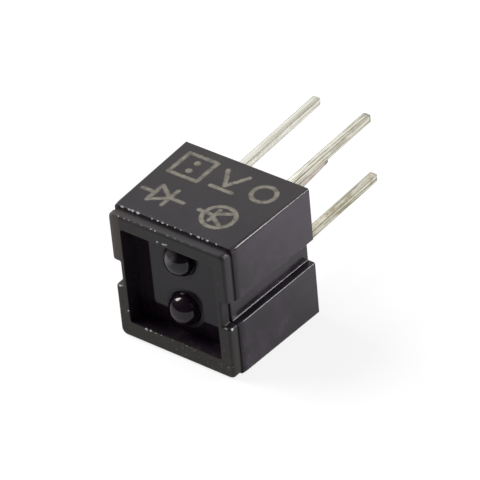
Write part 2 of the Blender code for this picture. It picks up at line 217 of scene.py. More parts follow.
NICK_OVAL = (0.65, 1.05, 1.15)
NICK_FADE = (0.55, 1.05)
NICK_ROUGHNESS = 0.22
LEAST_ROUGHNESS = 0.06

# Printed symbols on the top face, in mm: strokes (x, y, reach x, reach y) and rings (x, y, radius)
INK_STROKES = (
    (-2.95, -0.80, 0.70, 0.00), (-2.25, -1.40, 0.00, 1.20), (-2.25, -1.40, 0.85, 0.60),
    (-2.25, -0.20, 0.85, -0.60), (-1.40, -1.40, 0.00, 1.20), (-1.40, -0.80, 0.75, 0.00),
    (0.25, -0.80, 0.85, 0.00), (1.10, -1.22, 0.00, 0.84), (1.10, -0.68, 0.62, 0.36),
    (1.10, -0.92, 0.62, -0.36), (-2.75, 0.80, 1.60, 0.00), (-2.75, 2.40, 1.60, 0.00),
    (-2.75, 0.80, 0.00, 1.60), (-1.15, 0.80, 0.00, 1.60), (-0.45, 2.25, 0.60, -1.05),
    (0.15, 1.20, 0.60, 1.05), (-0.45, 0.92, 1.20, 0.00),
)
INK_RINGS = ((1.35, -0.80, 0.78), (-1.95, 1.28, 0.06), (-1.95, 1.92, 0.06), (2.05, 1.60, 0.58))
INK_WIDTH = 0.22
INK_FADE = (0.30, 0.66)
INK_WOBBLE = mm(0.06, 0.06, 0.0)

# Painted glow on the upper part of each dome: place, radius and colour
EMITTER_GLOW = (Vector((-0.05, -2.45, 2.90)) * MM, 0.40 * MM, (0.024, 0.014, 0.017))
DETECTOR_GLOW = (Vector((-0.20, -2.70, 5.45)) * MM, 0.52 * MM, (0.165, 0.153, 0.161))

# Zones of the housing's skin: where a rise or fade starts and where it is complete, or both ends of a
# band and the width over which it fades outside them
TOP_RISE = (HEIGHT - 0.05 * MM, HEIGHT - 0.01 * MM)
FRONT_FADE = (STEP_Y - 0.03 * MM, STEP_Y + 0.01 * MM)
MOUTH_FADE = mm(2.60, 2.63)
RECESS_RISE = mm(-2.99, -2.94)
PLATE_Y = -2.10 * MM
PLATE_BAND = mm(-2.12, -2.06, 0.03)
COLLAR_FADE = mm(1.02, 1.14)
SIDE_RISE = mm(3.15, 3.25)
SIDE_SHEEN_RISE = mm(2.0, 9.5)
DUST_RISE = mm(-2.0, 2.8)
STEP_SHADE_FADE = (STEP_Y - 0.02 * MM, STEP_Y + 0.38 * MM)
STEP_SHADE_RISE = (STEP_Y - 0.16 * MM, STEP_Y - 0.04 * MM)
TOP_EDGE_FADE = (HEIGHT - 0.26 * MM, HEIGHT - 0.18 * MM)
LEDGE_LIP_BAND = mm(2.78, 2.95, 0.03)
WARM_FRAME_FADE = mm(1.0, 8.5)
LEFT_EDGE_CORNER_RISE = mm(-3.25, -2.70)
LEFT_EDGE_FRONT_FADE = mm(-2.92, -2.84)
LEFT_EDGE_INNER_FADE = mm(-2.66, -2.60)
LEFT_EDGE_HEIGHT_RISE = mm(3.6, 4.6)
SPECK_RISE = mm(3.4, 2.2)
FRAME_EDGE_FADE = mm(-2.93, -2.82)
FRAME_EDGE_RISE = mm(6.70, 6.80)
SIDE_NICK_RISE = mm(3.08, 3.12)
SIDE_NICK_FADE = mm(4.0, 5.0)

# Zones of the leads: right pair, lower pair and cut ends
RIGHT_LEADS_RISE = mm(-0.8, 0.4)
LOWER_LEADS_RISE = mm(4.4, 3.0)
CUT_END_RISE = (BACK_Y + 7.40 * MM, BACK_Y + 7.50 * MM)

# Tints of the skins, wear, dust, stains, mottling and handling, and the colours of painted shade and
# painted sheen
TOP_SKIN = (0.0098, 0.0080, 0.0096)
# Painted sheen on the right side, lighter towards its upper back
PAINTED_SIDE_SHEEN = (0.056, 0.044, 0.060)
SIDE_MOTTLE = (0.044, 0.024, 0.050)
# Painted shade on the sides just behind the step
PAINTED_STEP_SHADE = (0.0060, 0.0045, 0.0065)
# Lighter, warmer tint on the upper part of the frame's left front edge
LEFT_EDGE_TINT = (0.076, 0.061, 0.056)
DUST_SPECK = (0.26, 0.24, 0.25)
PINK_TIN = (0.68, 0.60, 0.57)
YELLOWED_TIN = (0.52, 0.47, 0.32)
DRAWN_LINE = (0.22, 0.215, 0.150)
# Painted shade on the upper face of the upper left lead
SHADED_TOP_TIN = (0.46, 0.45, 0.385)
# Painted shade on the leads' rounded edges
SHADED_EDGE_TIN = (0.30, 0.29, 0.22)
CUT_TIN = (0.30, 0.29, 0.25)
TIN_SHEEN = (0.55, 0.54, 0.46)
EMITTER_DIE = (0.22, 0.17, 0.20)
DETECTOR_DIE = (0.10, 0.12, 0.20)
DIE_TRACK = (0.55, 0.50, 0.36)
GOLD_COLOURS = ((0.90, 0.66, 0.25), (0.78, 0.52, 0.17))
WHITE = (1.0, 1.0, 1.0)


def size_value(name, description, default, low, high):
    """Declare a length that a user may change, between a low and a high limit in mm."""
    return FloatProperty(name=name, description=description, default=default, min=low * MM, max=high * MM,
                         subtype="DISTANCE", unit="LENGTH", precision=5)


def colour_value(name, description, default):
    """Declare a colour that a user may change."""
    return FloatVectorProperty(name=name, description=description, default=default, size=3, min=0.0,
                               max=1.0, subtype="COLOR")


class SensorSizes(bpy.types.PropertyGroup):
    """Main sizes of the sensor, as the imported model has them, apart from slightly smaller domes."""

    frame_depth: size_value(
        "Front frame depth", "Length of the stepped frame at the front of the housing", 0.57 * MM, 0.1, 1.5)
    groove_height: size_value(
        "Groove height", "Height of the locating groove in each side", 1.26 * MM, 0.3, 3.0)
    groove_depth: size_value(
        "Groove depth", "Depth of the locating groove in each side", 0.40 * MM, 0.1, 0.6)
    recess_side: size_value(
        "Recess side", "Side of the square recess in the front face", 5.25 * MM, 4.0, 6.0)
    recess_depth: size_value(
        "Recess depth", "Depth of the recess in the front face", RECESS_DEPTH, 0.2, 1.5)
    dome_spacing: size_value(
        "Dome spacing", "Distance between the axes of the two domes", DOME_SPACING, 2.0, 3.5)
    dome_base_radius: size_value(
        "Dome radius", "Radius of a dome where it leaves its collar", 0.84 * MM, 0.4, 1.2)
    dome_height: size_value(
        "Dome height", "Height of a dome over the plate round it", 0.75 * MM, 0.2, 0.86)
    lead_side: size_value("Lead side", "Side of the square lead wire", 0.40 * MM, 0.2, 0.8)


class SensorColours(bpy.types.PropertyGroup):
    """Colours of the sensor's finishes."""

    plastic: colour_value(
        "Moulded plastic", "Colour of the housing's black moulding compound", (0.0145, 0.0095, 0.0158))
    plastic_dust: colour_value(
        "Rubbed plastic", "Colour of the housing where its skin is rubbed or dusty", (0.030, 0.025, 0.0225))
    frame: colour_value(
        "Front frame", "Colour of the duller skin on the front frame", (0.0135, 0.0120, 0.0130))
    # Warmer colour of the front frame, used towards its left and bottom
    frame_warm: colour_value(
        "Rubbed frame", "Warmer colour of the front frame where it is rubbed", (0.0185, 0.0160, 0.0100))
    # Painted shade: the inside of the recess is coloured darker than the rest of the housing
    recess: colour_value("Recess", "Colour of the deep black recess", (0.0062, 0.0034, 0.0068))
    emitter_resin: colour_value(
        "Emitter resin", "Tint of the emitter's dark resin", (0.0060, 0.0029, 0.0060))
    detector_resin: colour_value(
        "Detector resin", "Tint of the detector's dark resin", (0.0045, 0.0028, 0.0050))
    tin: colour_value("Tinned wire", "Colour of the tin on the leads", (0.88, 0.865, 0.81))
    tin_stain: colour_value(
        "Stained tin", "Colour of the flux and oxide stains on the leads", (0.36, 0.30, 0.17))
    ink: colour_value(
        "Printed symbols", "Colour of the worn printing ink on the top face", (0.270, 0.250, 0.200))


class Field:
    """An output of a node, mostly a value that changes over the surface.

    Arithmetic on it adds Math nodes to its tree.
    """

    def __init__(self, tree, socket):
        self.tree, self.socket = tree, socket

    def __add__(self, other):
        return calculate("ADD", self, other)

    def __radd__(self, other):
        return calculate("ADD", other, self)

    def __sub__(self, other):
        return calculate("SUBTRACT", self, other)

    def __rsub__(self, other):
        return calculate("SUBTRACT", other, self)

    def __mul__(self, other):
        return calculate("MULTIPLY", self, other)

    def __truediv__(self, other):
        return calculate("DIVIDE", self, other)

    def __rtruediv__(self, other):
        return calculate("DIVIDE", other, self)

    def __abs__(self):
        return calculate("ABSOLUTE", self)

    def rise(self, start, end, low=0.0, high=1.0):
        """Return a smooth change from low to high while this value runs from start to end."""
        limits = {"From Min": start, "From Max": end, "To Min": low, "To Max": high}
        return take_output(self.tree, "ShaderNodeMapRange", {"Value": self, **limits}, "Result",
                           interpolation_type="SMOOTHSTEP")

    def fade(self, start, end):
        """Return a smooth fall from one to zero while this value runs from start to end."""
        return self.rise(start, end, 1.0, 0.0)

    def band(self, start, end, blur):
        """Return a mask that is one between start and end and fades over blur outside."""
        return self.rise(start - blur, start) * self.fade(end, end + blur)

    def vector_math(self, operation, other=None, output="Vector", **inputs):
        """Return the result of a Vector Math node on this vector and another vector or a scale."""
        inputs = {0: self, **inputs}
        if other is not None:
            inputs[1] = other
        return take_output(self.tree, "ShaderNodeVectorMath", inputs, output, operation=operation)

    def distance(self, other):
        """Return the distance from this place to another."""
        return self.vector_math("DISTANCE", other, "Value")

    def reach(self, direction):
        """Return how far this place reaches in a direction."""
        return self.vector_math("DOT_PRODUCT", direction, "Value")

    def noise(self, size, detail=2.0, roughness=0.5, output="Fac"):
        """Return noise at this place, with spots of about a size."""
        inputs = {"Vector": self, "Scale": 1.0 / size, "Detail": detail, "Roughness": roughness}
        return take_output(self.tree, "ShaderNodeTexNoise", inputs, output)

    def bump(self, strength, depth):
        """Return the surface normal that this height gives."""
        inputs = {"Height": self, "Strength": strength, "Distance": depth}
        return take_output(self.tree, "ShaderNodeBump", inputs, "Normal")

    def coordinates(self):
        """Return the x, y and z of this place."""
        node = add_node(self.tree, "ShaderNodeSeparateXYZ", {"Vector": self})
        return [Field(self.tree, node.outputs[axis]) for axis in "XYZ"]

    def group(self, name, **values):
        """Place a shared node group at this place with its own values, and return its outputs by name."""
        inputs = {key.replace("_", " "): value for key, value in values.items()}
        node = add_node(self.tree, "ShaderNodeGroup", {"Vector": self, **inputs},
                        node_tree=bpy.data.node_groups[name])
        return {socket.name: Field(self.tree, socket) for socket in node.outputs}


def feed(socket, value):
    """Link a field to a socket, or set a constant, which is opaque if it is a colour."""
    if isinstance(value, Field):
        value.tree.links.new(value.socket, socket)
    elif socket.type == "RGBA":
        socket.default_value = (*value[:3], 1.0)
    else:
        socket.default_value = value


def add_node(tree, kind, inputs=None, **settings):
    """Add a node with the given settings, and link or set its inputs."""
    node = tree.nodes.new(kind)
    for key, value in settings.items():
        setattr(node, key, value)
    for key, value in (inputs or {}).items():
        feed(node.inputs[key], value)
    return node


def take_output(tree, kind, inputs=None, output=0, **settings):
    """Add a node and return one of its outputs."""
    return Field(tree, add_node(tree, kind, inputs, **settings).outputs[output])


def calculate(operation, first, second=0.0, clamp=False):
    """Return the result of a Math node, of which at least one value is a field."""
    tree = (first if isinstance(first, Field) else second).tree
    return take_output(tree, "ShaderNodeMath", {0: first, 1: second}, operation=operation, use_clamp=clamp)


def blend_colours(share, first, second):
    """Return two colours mixed by a share that changes over the surface."""
    return take_output(share.tree, "ShaderNodeMix", {0: share, 6: first, 7: second}, 2, data_type="RGBA")


def blend_numbers(share, first, second):
    """Return two numbers mixed by a share."""
    return take_output(share.tree, "ShaderNodeMix", {0: share, 2: first, 3: second}, 0, data_type="FLOAT")


def blend_vectors(share, first, second):
    """Return two vectors mixed by a share."""
    return take_output(share.tree, "ShaderNodeMix", {0: share, 4: first, 5: second}, 1, data_type="VECTOR")


def paint(base, coats):
    """Return a colour under its coats of (share, colour), of which the last lies on top."""
    for share, coat in coats:
        base = blend_colours(share, base, coat)
    return base


def join_masks(masks):
    """Return the strongest of many masks."""
    joined = masks[0]
    for mask in masks[1:]:
        joined = calculate("MAXIMUM", joined, mask)
    return joined


def start_group(name, inputs, outputs):
    """Start a node group, and return its incoming values and its output node.

    An input without a default is a vector, and every other input and output is a number.
    """
    tree = bpy.data.node_groups.new(name, "ShaderNodeTree")
    for label, default in inputs.items():
        kind = "NodeSocketVector" if default is None else "NodeSocketFloat"
        socket = tree.interface.new_socket(label, in_out="INPUT", socket_type=kind)
        if default is not None:
            socket.default_value = default
    for label in outputs:
        tree.interface.new_socket(label, in_out="OUTPUT", socket_type="NodeSocketFloat")
    source = add_node(tree, "NodeGroupInput")
    return [Field(tree, source.outputs[label]) for label in inputs], add_node(tree, "NodeGroupOutput")


def start_material(name, **fixed):
    """Start a Principled material whose constant values are set on the shader's own sockets."""
    material = bpy.data.materials.new(name)
    material.use_nodes = True
    tree = material.node_tree
    shader = tree.nodes["Principled BSDF"]
    for key, value in fixed.items():
        feed(shader.inputs[key.replace("_", " ")], value)
    return material, shader, take_output(tree, "ShaderNodeTexCoord", output="Object")


def make_grain_group():
    """Build the moulded grain: fine pits, uneven tone and sparse specks."""
    (place, grain_size, wave_size), ends = start_group(
        "Moulded grain", {"Vector": None, "Grain Size": 0.05 * MM, "Wave Size": 1.2 * MM},
        ("Height", "Tone", "Speckle"))
    wave = place.noise(wave_size, 4.0, 0.55)
    speck = add_node(place.tree, "ShaderNodeTexVoronoi",
                     {"Vector": place, "Scale": 1.0 / grain_size * 0.35, "Randomness": 1.0})
    distance, cell_colour = (Field(place.tree, speck.outputs[label]) for label in ("Distance", "Color"))
    chance = take_output(place.tree, "ShaderNodeSeparateColor", {"Color": cell_colour}, "Red")
    dots = distance.fade(0.15, 0.42) * chance.rise(0.55, 0.85)
    feed(ends.inputs["Height"], place.noise(grain_size, 3.0, 0.6))
    feed(ends.inputs["Tone"], wave)
    feed(ends.inputs["Speckle"], dots * wave.rise(0.46, 0.60))


def make_streak_group():
    """Build drawn-wire streaks that run along Y."""
    (place, width, stretch), ends = start_group(
        "Drawn streaks", {"Vector": None, "Streak Width": 0.03 * MM, "Stretch": 0.02}, ("Height", "Broad"))
    x, y, z = place.coordinates()
    drawn = take_output(place.tree, "ShaderNodeCombineXYZ", {"X": x, "Y": y * stretch, "Z": z})
    feed(ends.inputs["Height"], drawn.noise(width, 3.0, 0.6))
    broad = take_output(place.tree, "ShaderNodeTexNoise",
                        {"Vector": drawn, "Scale": 1.0 / width * 0.3, "Detail": 2.0})
    feed(ends.inputs["Broad"], broad)


def make_nick_group():
    """Build the mask of one torn facet: a rough-edged spot at a place on an edge."""
    (place, centre, radius), ends = start_group(
        "Edge nick", {"Vector": None, "Place": None, "Radius": 0.05 * MM}, ("Mask",))
    oval = place.vector_math("SUBTRACT", centre).vector_math("MULTIPLY", NICK_OVAL)
    share = oval.vector_math("LENGTH", output="Value") / radius
    feed(ends.inputs["Mask"], share.fade(*NICK_FADE))


def make_ink_groups():
    """Build the masks of one printed stroke and one printed ring on the top face."""
    (place, start, reach, width), ends = start_group(
        "Ink stroke", {"Vector": None, "Start": None, "Reach": None, "Width": INK_WIDTH * MM}, ("Mask",))
    offset = place.vector_math("SUBTRACT", start)
    along = calculate("DIVIDE", offset.reach(reach), reach.reach(reach), clamp=True)
    apart = offset.distance(reach.vector_math("SCALE", Scale=along))
    feed(ends.inputs["Mask"], (apart / width).fade(*INK_FADE))

    (place, centre, radius, width), ends = start_group(
        "Ink ring", {"Vector": None, "Centre": None, "Radius": 0.5 * MM, "Width": INK_WIDTH * MM},
        ("Mask",))
    apart = abs(place.distance(centre) - radius)
    feed(ends.inputs["Mask"], (apart / width).fade(*INK_FADE))


def crooked_noise(place, size, detail):
    """Return vector noise round zero."""
    return place.noise(size, detail, output="Color").vector_math("SUBTRACT", (0.5, 0.5, 0.5))


def ink_mask(place, top):
    """Return the worn mask of all printed symbols on the top face."""
    wobble = crooked_noise(place, 0.12 * MM, 2.0).vector_math("MULTIPLY", INK_WOBBLE)
    flat = place.vector_math("MULTIPLY", (1.0, 1.0, 0.0)).vector_math("ADD", wobble)
    masks = [flat.group("Ink stroke", Start=mm(x, y, 0.0), Reach=mm(across, along, 0.0))["Mask"]
             for x, y, across, along in INK_STROKES]
    masks += [flat.group("Ink ring", Centre=mm(x, y, 0.0), Radius=radius * MM)["Mask"]
              for x, y, radius in INK_RINGS]
    kept = place.noise(0.35 * MM, 5.0, 0.65).rise(0.34, 0.62, 0.24, 0.60)
    return join_masks(masks) * kept * top


def make_housing_material(colours):
    """Black moulding compound: matt top, smoother sides, mirror-smooth recess floor and broken edges, with
    painted shade in the recess and beside the step and painted sheen on the right side.
    """
    material, shader, place = start_material("black_moulding_compound", IOR=1.405)
    x, y, z = place.coordinates()
    grain = place.group("Moulded grain", Grain_Size=0.045 * MM, Wave_Size=1.3 * MM)
    wave = grain["Tone"]
    across = abs(x)
    top = z.rise(*TOP_RISE)
    not_top = 1.0 - top
    flank = x.rise(*SIDE_RISE) * not_top
    sides = across.rise(*SIDE_RISE) * not_top
    inside = across.fade(*MOUTH_FADE) * abs(z - RECESS_Z).fade(*MOUTH_FADE)
    # recess covers the inside of the recess, which gets painted shade and a rougher skin
    recess = inside * y.rise(*RECESS_RISE)
    plate = inside * y.band(*PLATE_BAND)
    front_frame = calculate("SUBTRACT", y.fade(*FRONT_FADE), recess, clamp=True)
    frame_edge = y.fade(*FRAME_EDGE_FADE) * z.rise(*FRAME_EDGE_RISE)
    # beside_step carries painted shade on both sides just behind the step, below the top edge, and a
    # rougher skin there
    beside_step = sides * y.fade(*STEP_SHADE_FADE) * y.rise(*STEP_SHADE_RISE) * z.fade(*TOP_EDGE_FADE)
    beside_step = beside_step * (1.0 - z.band(*LEDGE_LIP_BAND))
    # left_edge_tint: lighter and warmer on the upper part of the frame's left front edge
    left_edge_tint = x.rise(*LEFT_EDGE_CORNER_RISE, 0.80, 0.30) * y.fade(*LEFT_EDGE_FRONT_FADE)
    left_edge_tint = left_edge_tint * x.fade(*LEFT_EDGE_INNER_FADE) * z.rise(*LEFT_EDGE_HEIGHT_RISE)
    collars = [place.distance((0.0, PLATE_Y, OPTICS_Z + side * DOME_SPACING / 2)).fade(*COLLAR_FADE)
               for side in (-1, 1)]
    collar = join_masks(collars) * plate
    printed = ink_mask(place, top)
    dusty = y.rise(*DUST_RISE, 0.0, 0.42) * wave.rise(0.2, 0.8, 0.6, 1.0)
    mottle = place.noise(0.75 * MM).rise(0.42, 0.62, 0.0, 0.24)
    specks = grain["Speckle"] * z.rise(*SPECK_RISE, 0.06, 0.55) * blend_numbers(sides, 1.0, 0.35)

    # The frame's skin turns warmer towards its left and bottom
    frame_skin = blend_colours((x + z).fade(*WARM_FRAME_FADE), colours.frame, colours.frame_warm)
    body = blend_colours(wave.rise(0.35, 0.70), [0.6 * part for part in colours.plastic],
                         [1.4 * part for part in colours.plastic])
    body = paint(body, (
        (top * 0.8, TOP_SKIN), (dusty * top, colours.plastic_dust),
        # The first coat on the next line is painted sheen on the right side
        (flank * (y + z).rise(*SIDE_SHEEN_RISE, 0.0, 0.55), PAINTED_SIDE_SHEEN), (flank * mottle, SIDE_MOTTLE),
        # The first coat on the next line is painted shade beside the step
        (beside_step * 0.8, PAINTED_STEP_SHADE), (printed, colours.ink), (front_frame * 0.8, frame_skin),
        # The last coat on the next line is painted shade inside the recess
        (left_edge_tint, LEFT_EDGE_TINT), (specks, DUST_SPECK), (recess, colours.recess)))
    feed(shader.inputs["Base Color"], body)

    rough = wave.rise(0.3, 0.7, 0.13, 0.20) + top * 0.30 + front_frame * 0.30 + recess * 0.12
    rough = calculate("SUBTRACT", rough, plate * 0.24, clamp=True)
    rough = rough + printed * 0.15 + beside_step * 0.60 + frame_edge * 0.25 + collar * 0.30

    bump = (grain["Height"] * (1.0 - plate * 0.95)).bump(0.30, 0.006 * MM)
    crooked = crooked_noise(place, 0.05 * MM, 1.0)
    ragged = place.vector_math("ADD", crooked.vector_math("SCALE", Scale=0.05 * MM))
    nick = join_masks([ragged.group("Edge nick", Place=mm(*centre), Radius=radius * MM)["Mask"]
                       for *centre, radius in NICKS])
    facet = crooked.vector_math("SCALE", Scale=0.9).vector_math("ADD", NICK_FACET)
    facet = blend_vectors(x.rise(*SIDE_NICK_RISE) * z.fade(*SIDE_NICK_FADE), facet, SIDE_NICK_FACET)
    feed(shader.inputs["Normal"], blend_vectors(nick, bump, facet).vector_math("NORMALIZE"))
    rough = blend_numbers(nick, rough, NICK_ROUGHNESS)
    feed(shader.inputs["Roughness"], calculate("MAXIMUM", rough, LEAST_ROUGHNESS))
    return material


def make_resin_material(name, tint, glow_place, glow_radius, glow_colour):
    """Dark polished resin that lets only infrared through, with a painted glow on its dome."""
    material, shader, place = start_material(name, IOR=1.48)
    tone = place.group("Moulded grain", Grain_Size=0.06 * MM, Wave_Size=0.5 * MM)["Tone"]
    # A painted glow, lighter round a place on the dome
    painted_glow = place.distance(glow_place).fade(0.35 * glow_radius, glow_radius)
    resin = blend_colours(tone.rise(0.3, 0.7), tint, [1.5 * part for part in tint])
    feed(shader.inputs["Base Color"], blend_colours(painted_glow * tone, resin, glow_colour))
    feed(shader.inputs["Roughness"], tone.rise(0.3, 0.8, 0.04, 0.09))
    feed(shader.inputs["Normal"], tone.bump(0.10, 0.01 * MM))
    return material


def make_lead_material(colours):
    """Tinned wire: dark drawn lines along its length, warm oxide stains, a greyer cut end, and painted
    shade on its rounded edges and on one lead's upper face.
    """
    material, shader, place = start_material("tinned_drawn_wire", Metallic=1.0, Anisotropic=0.3,
                                             Specular_Tint=TIN_SHEEN)
    x, y, z = place.coordinates()
    right = x.rise(*RIGHT_LEADS_RISE)
    lower = z.rise(*LOWER_LEADS_RISE)
    worst = right * lower
    streaks = place.group("Drawn streaks", Streak_Width=0.075 * MM, Stretch=0.02)
    cloud = place.noise(0.55 * MM, 5.0, 0.62)
    yellow = (blend_numbers(right, 0.05, 0.35) + worst * 0.30) * cloud.rise(0.3, 0.6, 0.4, 1.0)
    line = streaks["Height"].fade(0.41, 0.49) * blend_numbers(right, 0.45, 0.85)
    stain = cloud.rise(0.52, 0.68, 0.0, 0.85) * (0.15 + worst * 0.75)
    upper_face, edge = (take_output(place.tree, "ShaderNodeAttribute", output="Fac", attribute_name=name)
                        for name in ("upper_face", "rounded_edge"))
    # top_shade: painted shade on the upper face of the upper left lead
    top_shade = upper_face * (1.0 - right) * (1.0 - lower)
    clean = blend_colours((1.0 - right) * lower, colours.tin, PINK_TIN)
    wire = paint(clean, (
        # The last coat on the next line is painted shade on that upper face
        (yellow, YELLOWED_TIN), (line, DRAWN_LINE), (stain, colours.tin_stain), (top_shade * 0.50, SHADED_TOP_TIN),
        # Next: painted shade on the rounded edges, strongest on those facing the key lamp
        (edge * 0.50, SHADED_EDGE_TIN), (y.rise(*CUT_END_RISE, 0.0, 0.75), CUT_TIN)))
    feed(shader.inputs["Base Color"], wire)
    rough = streaks["Broad"].rise(0.3, 0.7, 0.42, 0.52) + stain * 0.15
    feed(shader.inputs["Roughness"], calculate("ADD", rough, edge * 0.40, clamp=True))
    feed(shader.inputs["Normal"], streaks["Height"].bump(0.25, 0.005 * MM))
    return material


def make_chip_material(name, die):
    """Polished die with a faint grid of metal tracks."""
    material, shader, place = start_material(name, IOR=2.4)
    cells = take_output(place.tree, "ShaderNodeTexVoronoi",
                        {"Vector": place, "Scale": 1.0 / (0.05 * MM), "Randomness": 0.0}, "Distance",
                        distance="CHEBYCHEV")
    track = cells.rise(0.42, 0.48)
    feed(shader.inputs["Base Color"], blend_colours(track, die, DIE_TRACK))
    feed(shader.inputs["Metallic"], track * 0.9)
    feed(shader.inputs["Roughness"], cells.rise(0.0, 0.5, 0.12, 0.3))
    return material


def make_wire_material():
    """Soft gold bonding wire with slight colour changes along it."""
    material, shader, place = start_material("gold_bonding_wire", Metallic=1.0)
    cloud = place.noise(0.08 * MM)
    feed(shader.inputs["Base Color"], blend_colours(cloud, *GOLD_COLOURS))
    feed(shader.inputs["Roughness"], cloud.rise(0.3, 0.7, 0.15, 0.3))
    return material


def leave_edit_mode():
    """Go back to object mode with nothing selected."""
    if bpy.context.object and bpy.context.object.mode != "OBJECT":
        bpy.ops.object.mode_set(mode="OBJECT")
    bpy.ops.object.select_all(action="DESELECT")


def take(item):
    """Make one object the selected and active one."""
    leave_edit_mode()
    item.select_set(True)
    bpy.context.view_layer.objects.active = item


def edit(item):
    """Open one object in edit mode."""
    take(item)
    bpy.ops.object.mode_set(mode="EDIT")


def choose(item, kind, test):
    """Select the vertices, edges or faces of an edited object that pass a test, and nothing else."""
    bpy.context.tool_settings.mesh_select_mode = (kind == "verts", kind == "edges", kind == "faces")
    mesh = bmesh.from_edit_mesh(item.data)
    for elements in (mesh.faces, mesh.edges, mesh.verts):
        for element in elements:
            element.select = False
    for element in getattr(mesh, kind):
        if test(element):
            element.select_set(True)
    mesh.select_flush_mode()
    bmesh.update_edit_mesh(item.data)


def choose_all(item):
    """Select all of an edited object."""
    choose(item, "verts", lambda v: True)


def chosen_points(item):
    """Return the numbers of the selected vertices."""
    mesh = bmesh.from_edit_mesh(item.data)
    return {vertex.index for vertex in mesh.verts if vertex.select}


def middle(element):
    """Return the middle of an edge or face."""
    points = [vertex.co for vertex in element.verts]
    return sum(points, Vector()) / len(points)


def extrude(shift):
    """Extrude the selected faces by a shift."""
    bpy.ops.mesh.extrude_region_move(TRANSFORM_OT_translate={"value": tuple(shift)})


def scale_section(ratio, centre):
    """Scale the selected section across Y about a point."""
    bpy.ops.transform.resize(value=(ratio, 1.0, ratio), center_override=centre)


def face_outwards():
    """Turn all faces of the edited shape outwards."""
    bpy.ops.mesh.select_all(action="SELECT")
    bpy.ops.mesh.normals_make_consistent(inside=False)


def add_primitive(name, kind, scale=(1.0, 1.0, 1.0), **settings):
    """Add a primitive under a name, with its size and place in its mesh."""
    leave_edit_mode()
    getattr(bpy.ops.mesh, "primitive_%s_add" % kind)(**settings)
    item = bpy.context.object
    item.name = item.data.name = name
    bpy.ops.object.transform_apply(location=False, rotation=True, scale=False)
    item.scale = scale
    bpy.ops.object.transform_apply(location=True, rotation=False, scale=True)
    return item


def copy_piece(item, name):
    """Copy a piece with its own mesh."""
    take(item)
    bpy.ops.object.duplicate(linked=False)
    copy = bpy.context.object
    copy.name = copy.data.name = name
    return copy


def apply_boolean(item, tool, operation):
    """Cut or join a tool solid, apply the result and remove the tool."""
    take(item)
    bpy.ops.object.modifier_add(type="BOOLEAN")
    modifier = item.modifiers[-1]
    modifier.operation = operation
    modifier.solver = "EXACT"
    modifier.object = tool
    bpy.ops.object.modifier_apply(modifier=modifier.name)
    bpy.data.objects.remove(tool, do_unlink=True)


def finish_piece(item, material, node):
    """Smooth a piece, weight its normals by face area, and tie it to the CAD node that it stands for."""
    take(item)
    item.data.materials.clear()
    item.data.materials.append(material)
    for face in item.data.polygons:
        face.material_index = 0
    bpy.ops.object.shade_smooth_by_angle(angle=SMOOTH_ANGLE)
    bpy.ops.object.modifier_add(type="WEIGHTED_NORMAL")
    modifier = item.modifiers[-1]
    modifier.keep_sharp = True
    modifier.weight = AREA_WEIGHT
    bpy.ops.object.modifier_apply(modifier=modifier.name)
    leave_edit_mode()
    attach(item, "root")
    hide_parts(node)


def round_corner(item, x, z, radius, segments):
    """Round one corner of an upright outline with an arc."""
    choose(item, "verts", lambda v: abs(v.co.x - x) < TINY and abs(v.co.z - z) < TINY)
    bpy.ops.mesh.bevel(offset_type="OFFSET", offset=radius, segments=segments, profile=0.5,
                       affect="VERTICES", clamp_overlap=False)


def housing_corners(sizes, y, edge, inset=0.0, is_frame=False, sink=0.0, narrow=0.0):
    """Return the corners (x, z, radius) of the housing's section at y, right side first.

    inset draws the whole outline in, sink lowers the top, and narrow draws in the left and right sides.
    """
    side = WIDTH / 2 - SIDE_DRAFT * (BACK_Y - y)
    low = inset
    high = HEIGHT - inset - sink
    growth = 1.0 + LIP_GROWTH * (BACK_Y - y) / (BACK_Y - FRONT_Y)
    lip, root = LIP_RADIUS * growth, ROOT_RADIUS * growth
    groove_low = MIDDLE_Z - sizes.groove_height / 2 - LEDGE_ROUNDING * inset
    groove_high = MIDDLE_Z + sizes.groove_height / 2 + inset
    if is_frame:
        side -= FRAME_SIDE_STEP
        low += FRAME_BOTTOM_STEP
        high -= FRAME_TOP_STEP
        groove_high += GROOVE_MOUTH
    floor = side - sizes.groove_depth - ROOT_ROUNDING * inset
    side -= inset + narrow
    right = [(side, low, edge), (side, groove_low, lip), (floor, groove_low, root),
             (floor, groove_high, root), (side, groove_high, lip), (side, high, edge)]
    return right + [(-x, z, radius) for x, z, radius in reversed(right)]


def pull_section(item, before, after, shift_y):
    """Extrude the selected section along Y, then move and scale each of its corners into place."""
    extrude((0.0, shift_y, 0.0))
    section = chosen_points(item)
    places = {vertex.index: vertex.co.copy() for vertex in bmesh.from_edit_mesh(item.data).verts}
    for (x0, z0, radius0), (x1, z1, radius1) in zip(before, after):
        reach = radius0 + TINY
        arc = {index for index in section
               if abs(places[index].x - x0) < reach and abs(places[index].z - z0) < reach}
        y = places[min(arc)].y
        choose(item, "verts", lambda v: v.index in arc)
        bpy.ops.transform.translate(value=(x1 - x0, 0.0, z1 - z0))
        if radius1 != radius0:
            scale_section(radius1 / radius0, (x1, y, z1))
    choose(item, "verts", lambda v: v.index in section)


def rounded_steps(start_y, radius, count):
    """Return the (y, inset) steps of a rounded edge that ends at start_y."""
    turns = [math.pi / 2 * step / count for step in range(count + 1)]
    return [(start_y + radius * (1 - math.sin(turn)), radius * (1 - math.cos(turn))) for turn in turns]


